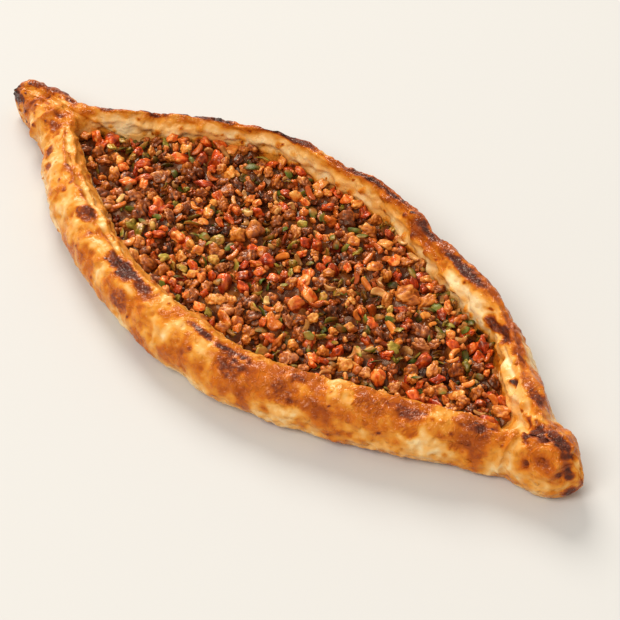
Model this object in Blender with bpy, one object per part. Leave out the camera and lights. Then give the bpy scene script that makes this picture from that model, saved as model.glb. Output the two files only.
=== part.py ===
"""Turkish pide: a boat of baked dough, its long edges rolled up and its ends pinched into knobs,
with a bed of minced meat and diced vegetables lying in the trough.

Two solids, in metres, +Z up. X runs along the boat and -Y is the side of the broader rim.
    crust    one loft of closed sections from tip to tip
    filling  the heap in the trough, out to its lumpy top
A section is drawn in two halves, NEAR and FAR, outwards from the line where the lips would meet.
"""

import math

import bmesh
import bpy
from mathutils import Vector, noise

NEAR, FAR = -1, 1
LENGTH = 0.360

# The opening between the two lips is a lens. Each half has a length and a power, and the right one
# is longer and slimmer.
OPENING_HALF_WIDTH = 0.0550
OPENING_LEFT = (0.136, 1.0)
OPENING_RIGHT = (0.158, 1.35)
# Past the opening the lips meet in a seam, which all but closes over the right knob.
SEAM_HALF_WIDTH = 0.0012
SEAM_DEPTH = 0.0024
SEAM_SHARE = ((-0.180, 0.6), (-0.150, 1.0), (0.142, 1.0), (0.162, 0.3), (0.180, 0.3))

# Sizes that change along the boat: (x, size) where each was chosen, with a smooth curve between.
MIDDLE_LINE = (
    (-0.180, -0.0005),
    (-0.160, 0.0005),
    (-0.140, 0.0020),
    (-0.110, 0.0040),
    (0.100, 0.0040),
    (0.148, 0.0),
    (0.165, 0.0005),
    (0.180, 0.0030),
)
# The rims' outer edges, measured out from the lens.
RIM_WIDTH = {
    NEAR: (
        (-0.180, 0.0020),
        (-0.172, 0.0050),
        (-0.160, 0.0098),
        (-0.148, 0.0160),
        (-0.128, 0.0240),
        (-0.105, 0.0248),
        (-0.080, 0.0214),
        (0.000, 0.0210),
        (0.042, 0.0238),
        (0.068, 0.0218),
        (0.115, 0.0202),
        (0.135, 0.0148),
        (0.156, 0.0134),
        (0.180, 0.0110),
    ),
    FAR: (
        (-0.180, 0.0080),
        (-0.155, 0.0134),
        (-0.132, 0.0100),
        (-0.118, 0.0062),
        (-0.100, 0.0138),
        (-0.065, 0.0098),
        (-0.045, 0.0122),
        (-0.030, 0.0086),
        (0.010, 0.0122),
        (0.030, 0.0100),
        (0.055, 0.0114),
        (0.088, 0.0172),
        (0.136, 0.0194),
        (0.160, 0.0168),
        (0.180, 0.0070),
    ),
}
# How far the lip leans out from the lens, or in over the filling.
LIP_SHIFT = {
    NEAR: (
        (-0.140, 0.0),
        (-0.110, 0.0),
        (-0.066, -0.0020),
        (-0.028, -0.0008),
        (0.030, -0.0026),
        (0.058, -0.0008),
        (0.128, -0.0040),
        (0.150, 0.0),
    ),
    FAR: (
        (-0.140, 0.0),
        (-0.115, -0.0032),
        (-0.066, 0.0038),
        (-0.020, -0.0004),
        (0.015, -0.0008),
        (0.050, -0.0044),
        (0.078, -0.0020),
        (0.097, 0.0034),
        (0.128, -0.0028),
        (0.150, 0.0),
    ),
}
RIM_HEIGHT = {
    NEAR: (
        (-0.180, 0.0180),
        (-0.150, 0.0215),
        (-0.120, 0.0250),
        (0.020, 0.0255),
        (0.120, 0.0255),
        (0.150, 0.0250),
        (0.162, 0.0262),
        (0.180, 0.0255),
    ),
    FAR: (
        (-0.180, 0.0190),
        (-0.155, 0.0225),
        (-0.120, 0.0235),
        (0.000, 0.0250),
        (0.120, 0.0255),
        (0.150, 0.0262),
        (0.162, 0.0262),
        (0.180, 0.0255),
    ),
}
LEFT_TIP_RADIUS, RIGHT_TIP_RADIUS = 0.0110, 0.0160
TIP_CENTRE_HEIGHT = 0.0100

# How unevenly the rims rose: (amplitude, wavelength, phase) of each wave.
HEIGHT_WAVES = {
    NEAR: ((0.0007, 0.094, 1.9), (0.0005, 0.041, 0.3)),
    FAR: ((0.0009, 0.066, 0.9), (0.0008, 0.029, 2.2)),
}
# Where a fold pinches the rim: (side, x, how deep, how long).
CREASES = (
    (NEAR, 0.1500, 0.0022, 0.0035),
    (NEAR, -0.1500, 0.0012, 0.0040),
    (FAR, -0.1440, 0.0018, 0.0050),
    (FAR, 0.1525, 0.0016, 0.0045),
)

# Shares of the rim's width or height at which the parts of its section meet.
FOOT_SHARE = 0.55
CROWN_SHARE = {NEAR: 0.40, FAR: 0.45}
WAIST_SHARE = 0.42
INNER_ROUND_SHARE = 0.38

# The trough's floor, flat under the filling and rising to the seam where the lips meet.
FLOOR_HEIGHT = 0.0060
FLOOR_FILLET = 0.0070
LEFT_RISE_WIDTH, RIGHT_RISE_WIDTH = 0.0080, 0.0140

# The filling.
FILLING_GAP = 0.0006
FILLING_LEFT_END, FILLING_RIGHT_END = -0.1300, 0.1370
FILLING_EDGE_HEIGHT = 0.0135
FILLING_CROWN = 0.0018
FILLING_LUMP = 0.0016
FILLING_LUMP_SIZE = 0.0085
FILLING_TOP_LIMIT = 0.0175

# How finely the lofts are sampled.
CRUST_STATIONS = 84
TOP_ROWS = 18
UNDER_STEPS, OUTSIDE_STEPS, CROWN_STEPS, LIP_STEPS, FILLET_STEPS = 2, 3, 4, 4, 3


def mix(a, b, share):
    return a + (b - a) * share


def smoothstep(value):
    value = min(max(value, 0.0), 1.0)
    return value * value * (3.0 - 2.0 * value)


def along(x, table):
    """The smooth curve through a table of (x, size)."""
    last = len(table) - 1
    index = max(i for i in range(last) if i == 0 or table[i][0] <= x)
    (x0, y0), (x1, y1) = table[index], table[index + 1]

    def slope(i):
        before, after = table[max(i - 1, 0)], table[min(i + 1, last)]
        return (after[1] - before[1]) / (after[0] - before[0])

    run = x1 - x0
    t = (x - x0) / run
    return (
        y0 * (1.0 + 2.0 * t) * (1.0 - t) ** 2
        + y1 * t**2 * (3.0 - 2.0 * t)
        + slope(index) * run * t * (1.0 - t) ** 2
        + slope(index + 1) * run * t**2 * (t - 1.0)
    )


def waves(x, table):
    return sum(size * math.sin(2.0 * math.pi * x / length + phase) for size, length, phase in table)


def creased(x, side):
    """How deep the folds pinch one rim at x."""
    return sum(
        depth * math.exp(-(((x - at) / spread) ** 2))
        for crease_side, at, depth, spread in CREASES
        if crease_side == side
    )


def opening(x):
    """Half the width between the lips at x, 0 past the opening's ends."""
    end, power = OPENING_LEFT if x < 0.0 else OPENING_RIGHT
    return OPENING_HALF_WIDTH * max(0.0, 1.0 - (x / end) ** 2) ** power


def lip_offset(x, side):
    """How far the lip lies from the middle line. It never quite closes, so that a seam stays."""
    calm = smoothstep(opening(x) / (0.1 * OPENING_HALF_WIDTH))
    return math.hypot(opening(x) + along(x, LIP_SHIFT[side]) * calm, SEAM_HALF_WIDTH)


def outer_offset(x, side):
    return opening(x) + along(x, RIM_WIDTH[side]) - creased(x, side)


def rim_height(x, side):
    calm = smoothstep(opening(x) / (0.3 * OPENING_HALF_WIDTH))
    return along(x, RIM_HEIGHT[side]) + waves(x, HEIGHT_WAVES[side]) * calm - 0.5 * creased(x, side)


def floor_height(x):
    seam_floor = min(rim_height(x, NEAR), rim_height(x, FAR)) - SEAM_DEPTH * along(x, SEAM_SHARE)
    rise_width = LEFT_RISE_WIDTH if x < 0.0 else RIGHT_RISE_WIDTH
    return mix(seam_floor, FLOOR_HEIGHT, smoothstep(opening(x) / rise_width))


def fillet_radius(x, side):
    depth = rim_height(x, side) - floor_height(x)
    return min(FLOOR_FILLET, 0.6 * lip_offset(x, side), 0.35 * depth)


def arc(centre, radii, start, end, steps):
    """Points on an ellipse's arc, in degrees, without the last one."""
    for step in range(steps):
        angle = math.radians(mix(start, end, step / steps))
        yield centre[0] + radii[0] * math.cos(angle), centre[1] + radii[1] * math.sin(angle)


def half_section(x, side):
    """One half of the section at x as points (outward, up), from under the middle to the floor."""
    lip, outer, height = lip_offset(x, side), outer_offset(x, side), rim_height(x, side)
    floor, fillet = floor_height(x), fillet_radius(x, side)
    foot, waist = mix(lip, outer, FOOT_SHARE), WAIST_SHARE * height
    crown = mix(lip, outer, CROWN_SHARE[side] * along(x, SEAM_SHARE))
    lip_round = min(INNER_ROUND_SHARE * height, 0.55 * (height - floor))
    points = [(foot * step / UNDER_STEPS, 0.0) for step in range(UNDER_STEPS)]
    points += arc((foot, waist), (outer - foot, waist), -90.0, 0.0, OUTSIDE_STEPS)
    points += arc((crown, waist), (outer - crown, height - waist), 0.0, 90.0, CROWN_STEPS)
    points += arc((crown, height - lip_round), (crown - lip, lip_round), 90.0, 180.0, LIP_STEPS)
    points.append((lip, height - lip_round))
    points += arc((lip - fillet, floor + fillet), (fillet, fillet), 0.0, -90.0, FILLET_STEPS)
    points.append((lip - fillet, floor))
    points.append((0.5 * (lip - fillet), floor))
    points.append((0.0, floor))
    return points


def crust_ring(x):
    """The crust's whole section at x. Near a tip it shrinks towards the tip's middle."""
    radius = LEFT_TIP_RADIUS if x < 0.0 else RIGHT_TIP_RADIUS
    inside = min(1.0, (LENGTH / 2.0 - abs(x)) / radius)
    scale = math.sqrt(1.0 - (1.0 - inside) ** 2)
    near = [(-out, up) for out, up in half_section(x, NEAR)]
    far = half_section(x, FAR)
    middle = along(x, MIDDLE_LINE)
    return [
        (x, middle + y * scale, TIP_CENTRE_HEIGHT + (z - TIP_CENTRE_HEIGHT) * scale)
        for y, z in near + far[-2:0:-1]
    ]


def crust_stations():
    """x of each section, closer together towards the tips."""
    for index in range(1, CRUST_STATIONS):
        share = index / CRUST_STATIONS
        bunched = -math.cos(math.pi * share)
        yield 0.5 * LENGTH * mix(2.0 * share - 1.0, bunched, 0.6)


def filling_top(x, y, edge_share):
    """The heap's top: a low crown with lumps the size of the mince on it."""
    where = Vector((x, y, 0.0)) / FILLING_LUMP_SIZE
    lumps = noise.noise(where) + 0.5 * noise.noise(where * 2.1)
    crowned = FILLING_EDGE_HEIGHT + FILLING_CROWN * (1.0 - edge_share**2)
    return min(crowned + FILLING_LUMP * lumps, FILLING_TOP_LIMIT)


def filling_half_underside(x, side):
    """The trough's wall and floor moved off by the gap, from the filling's edge to the middle."""
    lip, floor, fillet = lip_offset(x, side), floor_height(x), fillet_radius(x, side)
    radius = fillet - FILLING_GAP
    edge = [(lip - FILLING_GAP, max(FILLING_EDGE_HEIGHT, floor + fillet))]
    curve = arc((lip - fillet, floor + fillet), (radius, radius), 0.0, -90.0, FILLET_STEPS)
    level = floor + FILLING_GAP
    return edge + list(curve) + [(lip - fillet, level), (0.5 * (lip - fillet), level), (0.0, level)]


def filling_ring(x):
    near = [(-out, up) for out, up in filling_half_underside(x, NEAR)]
    far = filling_half_underside(x, FAR)
    middle = along(x, MIDDLE_LINE)
    under = [(x, middle + y, z) for y, z in near + far[-2::-1]]
    near_edge, far_edge = under[0], under[-1]
    top = []
    for row in range(1, TOP_ROWS):
        spread = -math.cos(math.pi * row / TOP_ROWS)
        y = mix(near_edge[1], far_edge[1], 0.5 + 0.5 * spread)
        z = max(filling_top(x, y, abs(spread)), near_edge[2])
        top.append((x, y, z))
    return under + top[::-1]


def loft(name, rings, start_tip, end_tip):
    """A closed mesh object through rings of equally many points, with a point at each end."""
    builder = bmesh.new()
    rows = [[builder.verts.new(point) for point in ring] for ring in rings]
    count = len(rows[0])
    for row, following in zip(rows, rows[1:]):
        for index in range(count):
            after = (index + 1) % count
            builder.faces.new((row[index], row[after], following[after], following[index]))
    for row, tip in ((rows[0], start_tip), (rows[-1], end_tip)):
        tip_vertex = builder.verts.new(tip)
        for index in range(count):
            builder.faces.new((row[index], row[(index + 1) % count], tip_vertex))
    bmesh.ops.recalc_face_normals(builder, faces=builder.faces)
    mesh = bpy.data.meshes.new(name)
    builder.to_mesh(mesh)
    builder.free()
    mesh.shade_smooth()
    return bpy.data.objects.new(name, mesh)


def make_crust():
    half = LENGTH / 2.0
    tips = [(x, along(x, MIDDLE_LINE), TIP_CENTRE_HEIGHT) for x in (-half, half)]
    return loft("crust", [crust_ring(x) for x in crust_stations()], *tips)


def make_filling():
    inside = [x for x in crust_stations() if FILLING_LEFT_END < x < FILLING_RIGHT_END]
    tips = []
    for x in (FILLING_LEFT_END, FILLING_RIGHT_END):
        level = mix(floor_height(x), FILLING_EDGE_HEIGHT, 0.7)
        tips.append((x, along(x, MIDDLE_LINE), level))
    return loft("filling", [filling_ring(x) for x in inside], *tips)


def give_material(obj, colour, roughness):
    material = bpy.data.materials.new(obj.name)
    material.use_nodes = True
    shader = material.node_tree.nodes["Principled BSDF"]
    shader.inputs["Base Color"].default_value = (*colour, 1.0)
    shader.inputs["Roughness"].default_value = roughness
    shader.inputs["Metallic"].default_value = 0.0
    obj.data.materials.append(material)


def main():
    for obj in list(bpy.data.objects):
        bpy.data.objects.remove(obj)
    collection = bpy.data.collections.new("turkish_pide")
    bpy.context.scene.collection.children.link(collection)
    crust, filling = make_crust(), make_filling()
    give_material(crust, (0.72, 0.42, 0.15), 0.55)
    give_material(filling, (0.30, 0.10, 0.04), 0.45)
    for obj in (crust, filling):
        collection.objects.link(obj)


main()
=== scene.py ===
"""Turkish pide, dressed: blistered baked dough around a loose filling of meat, vegetables and herbs.

The dough is one fine mesh through the same sections as the CAD crust, with folds, blisters and a
browning value at every point, which also holds painted shade in a few places. The filling is a low
core with pieces dropped on it one by one, their tone holding painted light and shade from their relief
and painted shade lower in the heap.
Sizes are in metres. -Y is the near side, with the broad rim, and +Y the far side.
"""

import itertools
import math

import bpy
import numpy as np
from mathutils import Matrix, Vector


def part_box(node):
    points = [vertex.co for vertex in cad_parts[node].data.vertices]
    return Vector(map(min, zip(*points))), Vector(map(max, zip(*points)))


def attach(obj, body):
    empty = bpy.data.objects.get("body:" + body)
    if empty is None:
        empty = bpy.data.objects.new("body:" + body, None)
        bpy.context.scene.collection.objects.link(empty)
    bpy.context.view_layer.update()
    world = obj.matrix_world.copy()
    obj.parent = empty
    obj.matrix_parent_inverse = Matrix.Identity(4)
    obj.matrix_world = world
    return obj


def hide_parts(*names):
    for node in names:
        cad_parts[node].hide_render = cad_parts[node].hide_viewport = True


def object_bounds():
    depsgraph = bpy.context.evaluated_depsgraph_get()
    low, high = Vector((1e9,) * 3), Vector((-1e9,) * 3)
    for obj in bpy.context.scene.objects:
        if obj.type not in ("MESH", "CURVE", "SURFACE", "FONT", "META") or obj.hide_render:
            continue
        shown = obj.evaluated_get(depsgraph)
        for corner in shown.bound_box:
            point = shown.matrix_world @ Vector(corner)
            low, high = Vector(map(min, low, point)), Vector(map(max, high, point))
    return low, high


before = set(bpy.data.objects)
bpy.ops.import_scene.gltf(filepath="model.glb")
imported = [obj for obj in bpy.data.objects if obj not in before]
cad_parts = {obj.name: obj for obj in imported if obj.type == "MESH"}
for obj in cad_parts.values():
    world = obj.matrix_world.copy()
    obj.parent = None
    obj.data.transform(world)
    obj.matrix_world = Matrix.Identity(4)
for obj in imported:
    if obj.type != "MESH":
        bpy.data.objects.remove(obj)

CAD_LOW, CAD_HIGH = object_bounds()
MM = 0.001
NEAR, FAR = -1, 1
RANDOM = np.random.default_rng(41)

# ---------------------------------------------------------------------------------------------
# The crust's form, as the CAD crust has it: (x, size) where each was chosen, smooth between.
# ---------------------------------------------------------------------------------------------
LENGTH = float(CAD_HIGH.x - CAD_LOW.x)
OPENING_HALF_WIDTH = 0.0550
OPENING_LEFT = (0.136, 1.0)
OPENING_RIGHT = (0.158, 1.35)
SEAM_HALF_WIDTH = 0.0012
SEAM_DEPTH = 0.0024
SEAM_SHARE = ((-0.180, 0.20), (-0.150, 0.45), (-0.135, 1.0), (0.142, 1.0), (0.158, 0.05), (0.180, 0.05))
MIDDLE_LINE = (
    (-0.180, -0.0005),
    (-0.160, 0.0005),
    (-0.140, 0.0020),
    (-0.110, 0.0040),
    (0.100, 0.0040),
    (0.148, 0.0),
    (0.165, 0.0005),
    (0.180, 0.0030),
)
RIM_WIDTH = {
    NEAR: (
        (-0.180, 0.0020),
        (-0.172, 0.0050),
        (-0.160, 0.0098),
        (-0.148, 0.0160),
        (-0.128, 0.0240),
        (-0.105, 0.0248),
        (-0.080, 0.0214),
        (0.000, 0.0210),
        (0.042, 0.0238),
        (0.068, 0.0218),
        (0.115, 0.0202),
        (0.135, 0.0148),
        (0.156, 0.0134),
        (0.180, 0.0110),
    ),
    FAR: (
        (-0.180, 0.0080),
        (-0.155, 0.0134),
        (-0.132, 0.0100),
        (-0.118, 0.0062),
        (-0.100, 0.0138),
        (-0.065, 0.0098),
        (-0.045, 0.0122),
        (-0.030, 0.0086),
        (0.010, 0.0122),
        (0.030, 0.0100),
        (0.055, 0.0114),
        (0.088, 0.0172),
        (0.136, 0.0194),
        (0.160, 0.0168),
        (0.180, 0.0070),
    ),
}
LIP_SHIFT = {
    NEAR: (
        (-0.140, 0.0),
        (-0.110, 0.0),
        (-0.066, -0.0020),
        (-0.028, -0.0008),
        (0.030, -0.0026),
        (0.058, -0.0008),
        (0.128, -0.0040),
        (0.150, 0.0),
    ),
    FAR: (
        (-0.140, 0.0),
        (-0.115, -0.0032),
        (-0.066, 0.0038),
        (-0.020, -0.0004),
        (0.015, -0.0008),
        (0.050, -0.0044),
        (0.078, -0.0020),
        (0.097, 0.0034),
        (0.128, -0.0028),
        (0.150, 0.0),
    ),
}
RIM_HEIGHT = {
    NEAR: (
        (-0.180, 0.0180),
        (-0.150, 0.0215),
        (-0.120, 0.0250),
        (0.020, 0.0255),
        (0.120, 0.0255),
        (0.150, 0.0250),
        (0.162, 0.0262),
        (0.180, 0.0255),
    ),
    FAR: (
        (-0.180, 0.0190),
        (-0.155, 0.0225),
        (-0.120, 0.0235),
        (0.000, 0.0250),
        (0.120, 0.0255),
        (0.150, 0.0262),
        (0.162, 0.0262),
        (0.180, 0.0255),
    ),
}
HEIGHT_WAVES = {
    NEAR: ((0.0007, 0.094, 1.9), (0.0005, 0.041, 0.3)),
    FAR: ((0.0009, 0.066, 0.9), (0.0008, 0.029, 2.2)),
}
CREASES = (
    (NEAR, 0.1500, 0.0022, 0.0035),
    (NEAR, -0.1500, 0.0012, 0.0040),
    (FAR, -0.1440, 0.0018, 0.0050),
    (FAR, 0.1525, 0.0016, 0.0045),
)
LEFT_TIP_RADIUS, RIGHT_TIP_RADIUS = 0.0110, 0.0160
TIP_CENTRE_HEIGHT = 0.0100
FOOT_SHARE = 0.55
CROWN_SHARE = {NEAR: 0.40, FAR: 0.45}
WAIST_SHARE = 0.42
INNER_ROUND_SHARE = 0.38
FLOOR_HEIGHT = 0.0060
FLOOR_FILLET = 0.0070
LEFT_RISE_WIDTH, RIGHT_RISE_WIDTH = 0.0080, 0.0140

# The stretches of a half section, from the middle of the underside round to the trough's middle,
# with how many steps the fine mesh takes over each. A point's place round the section is its
# stretch's number plus how far along that stretch it lies.
UNDER, OUTSIDE, CROWN, LIP, WALL, FILLET, FLOOR = range(7)
STEPS = {UNDER: 5, OUTSIDE: 24, CROWN: 27, LIP: 22, WALL: 10, FILLET: 6, FLOOR: 3}
STATIONS = 500


def mix(a, b, share):
    return a + (b - a) * share


def smoothstep(value):
    value = np.clip(value, 0.0, 1.0)
    return value * value * (3.0 - 2.0 * value)


def bump(distance, radius):
    """1 at distance 0, falling smoothly to 0 at the radius."""
    return np.clip(1.0 - (distance / radius) ** 2, 0.0, None) ** 2


def along(x, table):
    """The smooth curve through a table of (x, size)."""
    xs, ys = np.array(table).T
    index = np.arange(len(xs))
    before, after = np.maximum(index - 1, 0), np.minimum(index + 1, len(xs) - 1)
    slope = (ys[after] - ys[before]) / (xs[after] - xs[before])
    i = np.clip(np.searchsorted(xs, x, side="right") - 1, 0, len(xs) - 2)
    run = xs[i + 1] - xs[i]
    t = (x - xs[i]) / run
    return (
        ys[i] * (1.0 + 2.0 * t) * (1.0 - t) ** 2
        + ys[i + 1] * t**2 * (3.0 - 2.0 * t)
        + slope[i] * run * t * (1.0 - t) ** 2
        + slope[i + 1] * run * t**2 * (t - 1.0)
    )


def gradient_noise(points, size, seed):
    """Smooth noise of about -1 to 1 at each point, with features of the given size."""
    place = points / size + 19.7 * seed
    cell = np.floor(place).astype(np.int64)
    part = place - cell
    fade = part**3 * (part * (part * 6.0 - 15.0) + 10.0)
    total = np.zeros(len(points))
    for corner in itertools.product((0, 1), repeat=3):
        lattice = (cell + corner) * (73856093, 19349663, 83492791)
        mixed = lattice[:, 0] ^ lattice[:, 1] ^ lattice[:, 2] ^ (seed * 2654435761)
        mixed = (mixed ^ (mixed >> 15)) * 2246822519 & 0x7FFFFFFF
        mixed = (mixed ^ (mixed >> 13)) * 3266489917 & 0x7FFFFFFF
        gradient = np.stack([(mixed >> shift & 1023) / 511.5 - 1.0 for shift in (0, 10, 20)], axis=1)
        weight = np.where(corner, fade, 1.0 - fade).prod(axis=1)
        total += weight * (gradient * (part - corner)).sum(axis=1)
    return 1.6 * total


def opening(x):
    half = np.where(x < 0.0, OPENING_LEFT[0], OPENING_RIGHT[0])
    power = np.where(x < 0.0, OPENING_LEFT[1], OPENING_RIGHT[1])
    return OPENING_HALF_WIDTH * np.clip(1.0 - (x / half) ** 2, 0.0, None) ** power


def lip_offset(x, side):
    calm = smoothstep(opening(x) / (0.1 * OPENING_HALF_WIDTH))
    return np.hypot(opening(x) + along(x, LIP_SHIFT[side]) * calm, SEAM_HALF_WIDTH)


def creased(x, side):
    return sum(
        depth * np.exp(-(((x - at) / spread) ** 2))
        for crease_side, at, depth, spread in CREASES
        if crease_side == side
    )


def rim_height(x, side):
    calm = smoothstep(opening(x) / (0.3 * OPENING_HALF_WIDTH))
    wavy = sum(size * np.sin(2.0 * np.pi * x / length + phase) for size, length, phase in HEIGHT_WAVES[side])
    return along(x, RIM_HEIGHT[side]) + wavy * calm - 0.5 * creased(x, side)


def floor_height(x):
    seam = np.minimum(rim_height(x, NEAR), rim_height(x, FAR)) - SEAM_DEPTH * along(x, SEAM_SHARE)
    width = np.where(x < 0.0, LEFT_RISE_WIDTH, RIGHT_RISE_WIDTH)
    return mix(seam, FLOOR_HEIGHT, smoothstep(opening(x) / width))


def half_section(x, side):
    """(outward, up, place) of one half of the section, each an array of x by points."""
    lip, height, floor = lip_offset(x, side), rim_height(x, side), floor_height(x)
    outer = opening(x) + along(x, RIM_WIDTH[side]) - creased(x, side)
    fillet = np.minimum(np.minimum(FLOOR_FILLET, 0.6 * lip), 0.35 * (height - floor))
    foot, waist = mix(lip, outer, FOOT_SHARE), WAIST_SHARE * height
    crown = mix(lip, outer, CROWN_SHARE[side] * along(x, SEAM_SHARE))
    lip_round = np.minimum(INNER_ROUND_SHARE * height, 0.55 * (height - floor))
    rows = []

    def line(stretch, start, end, last=False):
        count = STEPS[stretch]
        for step in range(count + last):
            share = step / count
            rows.append((mix(start[0], end[0], share), mix(start[1], end[1], share), stretch + share))

    def arc(stretch, centre, radii, start, end):
        for step in range(STEPS[stretch]):
            share = step / STEPS[stretch]
            angle = math.radians(mix(start, end, share))
            out = centre[0] + radii[0] * math.cos(angle)
            rows.append((out, centre[1] + radii[1] * math.sin(angle), stretch + share))

    line(UNDER, (0.0 * foot, 0.0 * foot), (foot, 0.0 * foot))
    arc(OUTSIDE, (foot, waist), (outer - foot, waist), -90.0, 0.0)
    arc(CROWN, (crown, waist), (outer - crown, height - waist), 0.0, 90.0)
    arc(LIP, (crown, height - lip_round), (crown - lip, lip_round), 90.0, 180.0)
    line(WALL, (lip, height - lip_round), (lip, floor + fillet))
    arc(FILLET, (lip - fillet, floor + fillet), (fillet, fillet), 0.0, -90.0)
    line(FLOOR, (lip - fillet, floor), (0.0 * lip, floor), last=True)
    out, up, place = zip(*rows)
    return np.stack(out, axis=1), np.stack(up, axis=1), np.array(place)


def crust_grid():
    """The undisplaced crust as a grid: points, side and place, x along the first axis."""
    share = np.arange(1, STATIONS) / STATIONS
    x = 0.5 * LENGTH * mix(2.0 * share - 1.0, -np.cos(np.pi * share), 0.35)
    radius = np.where(x < 0.0, LEFT_TIP_RADIUS, RIGHT_TIP_RADIUS)
    inside = np.minimum(1.0, (LENGTH / 2.0 - np.abs(x)) / radius)
    scale = np.sqrt(1.0 - (1.0 - inside) ** 2)[:, None]
    near_out, near_up, place = half_section(x, NEAR)
    far_out, far_up, _ = half_section(x, FAR)
    out = np.concatenate([-near_out, far_out[:, -2:0:-1]], axis=1)
    up = np.concatenate([near_up, far_up[:, -2:0:-1]], axis=1)
    y = along(x, MIDDLE_LINE)[:, None] + out * scale
    z = TIP_CENTRE_HEIGHT + (up - TIP_CENTRE_HEIGHT) * scale
    points = np.stack([np.broadcast_to(x[:, None], y.shape), y, z], axis=2)
    side = np.concatenate([np.full(len(place), NEAR), np.full(len(place) - 2, FAR)])
    place = np.concatenate([place, place[-2:0:-1]])
    return points, np.broadcast_to(side, y.shape), np.broadcast_to(place, y.shape)


def grid_normals(points):
    """Outward unit normals of a grid that closes on itself along its second axis."""
    down_x = np.gradient(points, axis=0)
    around = np.roll(points, -1, axis=1) - np.roll(points, 1, axis=1)
    normal = np.cross(around, down_x)
    return normal / np.maximum(np.linalg.norm(normal, axis=2, keepdims=True), 1e-12)


# ---------------------------------------------------------------------------------------------
# Browning and blisters: (x, y, z, radius, browning) in mm, on the undisplaced crust.
# ---------------------------------------------------------------------------------------------
BROWN_PATCHES = (
    # near rim, left to right
    (-138.4, -11.0, 22.1, 4.0, 0.16),
    (-126.2, -24.0, 20.8, 4.0, 0.24),
    (-118.0, -30.0, 19.0, 3.4, 0.22),
    (-76.5, -43.6, 25.6, 5.4, 0.26),
    (-44.2, -51.9, 24.7, 6.5, 0.36),
    (-35.5, -54.6, 25.8, 8.0, 0.52),
    (-24.0, -56.9, 25.8, 6.0, 0.40),
    (-30.0, -66.0, 18.0, 5.5, 0.16),
    (9.0, -57.0, 25.8, 4.0, 0.30),
    (16.5, -57.1, 25.6, 5.0, 0.42),
    (28.8, -55.2, 24.3, 5.5, 0.44),
    (36.4, -53.6, 24.3, 6.0, 0.46),
    (36.0, -62.0, 22.0, 6.0, 0.24),
    (49.0, -45.5, 24.3, 4.0, 0.34),
    (62.0, -46.6, 24.3, 5.5, 0.26),
    (60.0, -55.0, 20.0, 7.0, 0.18),
    (72.0, -36.0, 25.0, 3.5, 0.32),
    (88.0, -35.0, 26.0, 4.0, 0.30),
    (96.0, -37.0, 25.0, 6.5, 0.06),
    (101.0, -29.0, 25.3, 4.5, 0.16),
    (109.5, -27.5, 25.0, 6.5, 0.28),
    (114.0, -33.0, 20.0, 4.5, -0.02),
    (129.0, -17.0, 25.2, 4.0, 0.02),
    (137.0, -14.5, 24.3, 5.0, 0.16),
    (133.0, -23.5, 15.0, 4.0, 0.00),
    # far rim, left to right
    (-126.9, 12.0, 23.4, 4.2, 0.34),
    (-110.0, 25.3, 23.3, 4.0, 0.38),
    (-100.7, 38.1, 21.9, 4.5, 0.38),
    (-90.8, 40.6, 23.2, 4.0, 0.40),
    (-83.0, 45.2, 23.4, 4.6, 0.40),
    (-89.0, 37.4, 19.0, 2.0, 0.42),
    (-86.4, 38.4, 16.7, 1.5, 0.38),
    (-70.7, 48.2, 19.6, 3.2, 0.26),
    (-60.6, 54.8, 25.6, 4.2, 0.36),
    (-51.5, 57.0, 23.7, 6.0, 0.44),
    (-43.2, 58.7, 22.9, 4.5, 0.40),
    (-25.4, 58.6, 21.4, 3.0, 0.42),
    (-7.6, 62.1, 24.5, 5.0, 0.46),
    (1.0, 62.4, 24.6, 6.0, 0.50),
    (8.6, 61.9, 23.8, 5.5, 0.48),
    (22.3, 57.6, 21.7, 4.0, 0.36),
    (31.6, 57.5, 23.7, 5.0, 0.44),
    (39.3, 56.0, 23.0, 5.0, 0.40),
    (59.0, 50.4, 24.5, 6.0, 0.50),
    (66.8, 48.5, 24.7, 6.5, 0.52),
    (75.1, 46.0, 24.3, 6.0, 0.46),
    (99.0, 37.1, 19.9, 4.5, 0.36),
    (107.5, 31.9, 23.0, 4.5, 0.42),
    (101.0, 35.0, 23.4, 4.5, 0.44),
    (128.7, 16.4, 24.1, 2.6, 0.46),
    (122.0, 27.0, 25.1, 2.2, 0.22),
    (142.2, 15.5, 26.0, 4.0, 0.30),
    (90.5, 41.2, 21.7, 2.2, 0.34),
    # right knob
    (148.0, 3.0, 23.5, 2.5, 0.30),
    (156.0, 1.0, 25.5, 5.0, 0.46),
    (161.5, -1.0, 26.0, 3.2, 0.42),
    (154.0, -4.0, 25.0, 2.4, 0.42),
    (161.5, 4.0, 26.0, 3.4, 0.34),
    (167.5, 2.5, 25.0, 4.4, 0.46),
    (172.5, 0.5, 23.0, 3.0, 0.40),
    (167.0, -9.0, 22.0, 4.0, 0.12),
    (156.0, -6.0, 24.0, 1.8, 0.22),
    (174.5, -6.0, 18.0, 2.6, 0.40),
    (177.0, -3.0, 17.0, 3.2, 0.50),
    # This patch, low on the right end where it meets the floor, is painted contact shade with browning.
    (179.0, -3.0, 7.0, 4.6, 0.34),
    # left knob
    (-157.5, 1.0, 19.0, 1.9, 0.48),
    (-165.0, -6.0, 16.0, 7.0, -0.12),
    (-172.0, -5.0, 15.0, 4.0, 0.46),
    (-178.0, -2.0, 12.0, 6.0, 0.56),
    (-169.0, 4.0, 21.0, 4.0, 0.20),
    (-163.0, 6.5, 22.0, 4.0, 0.24),
    (-155.0, 9.5, 22.0, 4.0, 0.26),
    (-146.0, 8.0, 22.0, 3.4, 0.24),
)
PATCH_SWELL = 0.075  # how high a patch blisters, as a share of its radius
PATCH_ROUND, PATCH_LONG = (0.78, 1.1, 1.1), (0.55, 1.35, 1.2)

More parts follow.
